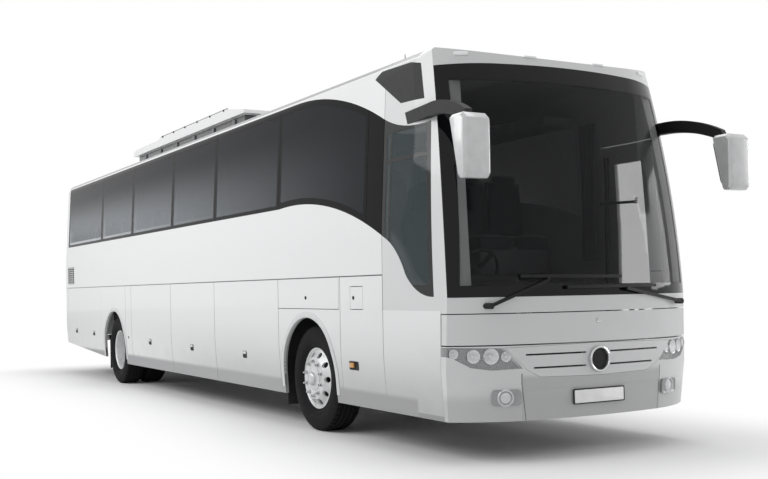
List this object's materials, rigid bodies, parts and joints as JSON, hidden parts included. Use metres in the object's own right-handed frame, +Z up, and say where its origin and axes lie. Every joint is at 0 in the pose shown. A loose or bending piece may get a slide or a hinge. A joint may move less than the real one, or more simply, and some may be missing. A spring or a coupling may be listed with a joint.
{
  "type": "high-deck touring coach",
  "caption": "Two-axle high-deck touring coach with swinging entrance doors, luggage flaps, steered front wheels and twin rear wheels.",
  "frame": {"origin": "on the ground below the middle of the whole box", "axes": "+X forward along the coach, +Y to its left, +Z up"},
  "size_m": [13.2444, 2.94, 3.64],
  "materials": {
    "body_paint": "silver-white coach paint",
    "skirt_paint": "silver-white coach paint",
    "front_paint": "silver coach paint",
    "tinted_glass": "dark tinted glass",
    "windscreen_glass": "clear laminated glass",
    "driver_glass": "blue-green tinted glass",
    "lamp_lens": "clear lens over bright reflector",
    "tail_lens": "red lens",
    "chrome_trim": "bright trim",
    "black_plastic": "black moulded plastic",
    "grey_plastic": "grey moulded plastic",
    "silver_plastic": "silver lacquered plastic",
    "underframe_steel": "black chassis paint",
    "cast_steel": "cast and painted",
    "wheel_steel": "silver wheel paint",
    "tyre": "black rubber",
    "bellows_rubber": "black rubber",
    "seat_fabric": "woven dark upholstery"
  },
  "bodies": {
    "coach": {"underframe": "underframe_steel", "roof": "body_paint", "side_wall_right": "body_paint", "side_wall_left": "body_paint", "skirt_right": "skirt_paint", "skirt_left": "skirt_paint", "front_mask": "body_paint", "rear_wall": "body_paint", "windscreen": "windscreen_glass", "windows_right": "tinted_glass", "windows_left": "tinted_glass", "driver_window": "driver_glass", "quarter_panels": "black_plastic", "rear_window": "tinted_glass", "front_bumper": "front_paint", "front_lamps": "lamp_lens", "grille": "chrome_trim", "wipers": "black_plastic", "mirror_arms": "black_plastic", "mirror_housings": "silver_plastic", "roof_unit": "body_paint", "rear_lamps": "tail_lens", "engine": "cast_steel", "front_axle": "cast_steel", "rear_axle": "cast_steel", "air_springs": "bellows_rubber", "mud_flaps": "bellows_rubber", "seats": "seat_fabric", "driver_seat": "seat_fabric", "cockpit": "black_plastic", "luggage_racks": "grey_plastic"},
    "knuckle_left": {"knuckle_left": "cast_steel"},
    "wheel_front_left": {"tyre_front_left": "tyre", "rim_front_left": "wheel_steel"},
    "wheels_rear_left": {"tyres_rear_left": "tyre", "rims_rear_left": "wheel_steel"},
    "knuckle_right": {"knuckle_right": "cast_steel"},
    "wheel_front_right": {"tyre_front_right": "tyre", "rim_front_right": "wheel_steel"},
    "wheels_rear_right": {"tyres_rear_right": "tyre", "rims_rear_right": "wheel_steel"},
    "luggage_flap_right_rear": {"luggage_flap_right_rear": "skirt_paint"},
    "luggage_flap_right_mid": {"luggage_flap_right_mid": "skirt_paint"},
    "luggage_flap_right_front": {"luggage_flap_right_front": "skirt_paint"},
    "luggage_flap_left_mid": {"luggage_flap_left_mid": "skirt_paint"},
    "luggage_flap_left_front": {"luggage_flap_left_front": "skirt_paint"},
    "rear_lid_right": {"rear_lid_right": "skirt_paint"},
    "rear_lid_left": {"rear_lid_left": "skirt_paint"},
    "arch_flap": {"arch_flap": "skirt_paint"},
    "fuel_flap": {"fuel_flap": "skirt_paint"},
    "engine_lid": {"engine_lid": "body_paint"},
    "front_flap_arms": {"front_flap_arms": "underframe_steel"},
    "front_flap": {"front_flap": "front_paint"},
    "door_front_arm": {"door_front_arm": "black_plastic"},
    "door_front": {"door_front": "body_paint", "door_front_glass": "tinted_glass"},
    "door_mid_arm": {"door_mid_arm": "black_plastic"},
    "door_mid": {"door_mid": "body_paint", "door_mid_glass": "tinted_glass"}
  },
  "joints": [
    {"name": "steer_left", "type": "hinge", "parent": "coach", "child": "knuckle_left", "pos_m": [3.5345, 0.88, 0.515], "axis": [0, 0, 1], "range_deg": [-45, 45]},
    {"name": "spin_front_left", "type": "hinge", "parent": "knuckle_left", "child": "wheel_front_left", "pos_m": [3.5345, 1.051, 0.515], "axis": [0, 1, 0], "continuous": true},
    {"name": "spin_rear_left", "type": "hinge", "parent": "coach", "child": "wheels_rear_left", "pos_m": [-3.3755, 0.8935, 0.515], "axis": [0, 1, 0], "continuous": true},
    {"name": "steer_right", "type": "hinge", "parent": "coach", "child": "knuckle_right", "pos_m": [3.5345, -0.88, 0.515], "axis": [0, 0, 1], "range_deg": [-45, 45]},
    {"name": "spin_front_right", "type": "hinge", "parent": "knuckle_right", "child": "wheel_front_right", "pos_m": [3.5345, -1.051, 0.515], "axis": [0, 1, 0], "continuous": true},
    {"name": "spin_rear_right", "type": "hinge", "parent": "coach", "child": "wheels_rear_right", "pos_m": [-3.3755, -0.8935, 0.515], "axis": [0, 1, 0], "continuous": true},
    {"name": "luggage_flap_right_rear_hinge", "type": "hinge", "parent": "coach", "child": "luggage_flap_right_rear", "pos_m": [-1.5255, -1.275, 1.497], "axis": [-1, 0, 0], "range_deg": [0, 90]},
    {"name": "luggage_flap_right_mid_hinge", "type": "hinge", "parent": "coach", "child": "luggage_flap_right_mid", "pos_m": [0.1945, -1.275, 1.497], "axis": [-1, 0, 0], "range_deg": [0, 90]},
    {"name": "luggage_flap_right_front_hinge", "type": "hinge", "parent": "coach", "child": "luggage_flap_right_front", "pos_m": [1.9345, -1.275, 1.497], "axis": [-1, 0, 0], "range_deg": [0, 90]},
    {"name": "luggage_flap_left_mid_hinge", "type": "hinge", "parent": "coach", "child": "luggage_flap_left_mid", "pos_m": [0.1945, 1.275, 1.497], "axis": [1, 0, 0], "range_deg": [0, 90]},
    {"name": "luggage_flap_left_front_hinge", "type": "hinge", "parent": "coach", "child": "luggage_flap_left_front", "pos_m": [1.9345, 1.275, 1.497], "axis": [1, 0, 0], "range_deg": [0, 90]},
    {"name": "rear_lid_right_hinge", "type": "hinge", "parent": "coach", "child": "rear_lid_right", "pos_m": [-5.2075, -1.275, 1.497], "axis": [-1, 0, 0], "range_deg": [0, 90]},
    {"name": "rear_lid_left_hinge", "type": "hinge", "parent": "coach", "child": "rear_lid_left", "pos_m": [-5.2075, 1.275, 1.497], "axis": [1, 0, 0], "range_deg": [0, 90]},
    {"name": "arch_flap_hinge", "type": "hinge", "parent": "coach", "child": "arch_flap", "pos_m": [3.546, -1.275, 1.497], "axis": [-1, 0, 0], "range_deg": [0, 90]},
    {"name": "fuel_flap_hinge", "type": "hinge", "parent": "coach", "child": "fuel_flap", "pos_m": [4.6935, -1.275, 1.3045], "axis": [0, 0, 1], "range_deg": [0, 100]},
    {"name": "engine_lid_hinge", "type": "hinge", "parent": "coach", "child": "engine_lid", "pos_m": [-6.6195, 0, 1.483], "axis": [0, 1, 0], "range_deg": [0, 95]},
    {"name": "front_flap_lift", "type": "hinge", "parent": "coach", "child": "front_flap_arms", "pos_m": [6.1345, 0, 1.14], "axis": [0, -1, 0], "range_deg": [0, 100]},
    {"name": "front_flap_level", "type": "hinge", "parent": "front_flap_arms", "child": "front_flap", "pos_m": [6.08838, 0, 0.94025], "axis": [0, -1, 0], "range_deg": [-100, 0]},
    {"name": "door_front_swing", "type": "hinge", "parent": "coach", "child": "door_front_arm", "pos_m": [5.1645, 1.15, 1], "axis": [0, 0, 1], "range_deg": [0, 150]},
    {"name": "door_front_level", "type": "hinge", "parent": "door_front_arm", "child": "door_front", "pos_m": [5.5645, 1.15, 1], "axis": [0, 0, 1], "range_deg": [-150, 0]},
    {"name": "door_mid_swing", "type": "hinge", "parent": "coach", "child": "door_mid_arm", "pos_m": [-2.3205, 1.15, 1], "axis": [0, 0, 1], "range_deg": [0, 150]},
    {"name": "door_mid_level", "type": "hinge", "parent": "door_mid_arm", "child": "door_mid", "pos_m": [-1.9205, 1.15, 1], "axis": [0, 0, 1], "range_deg": [-150, 0]}
  ],
  "couplings": [
    {"joint": "steer_right", "follows": "steer_left", "ratio": 1},
    {"joint": "front_flap_level", "follows": "front_flap_lift", "ratio": -1},
    {"joint": "door_front_level", "follows": "door_front_swing", "ratio": -1},
    {"joint": "door_mid_level", "follows": "door_mid_swing", "ratio": -1}
  ]
}
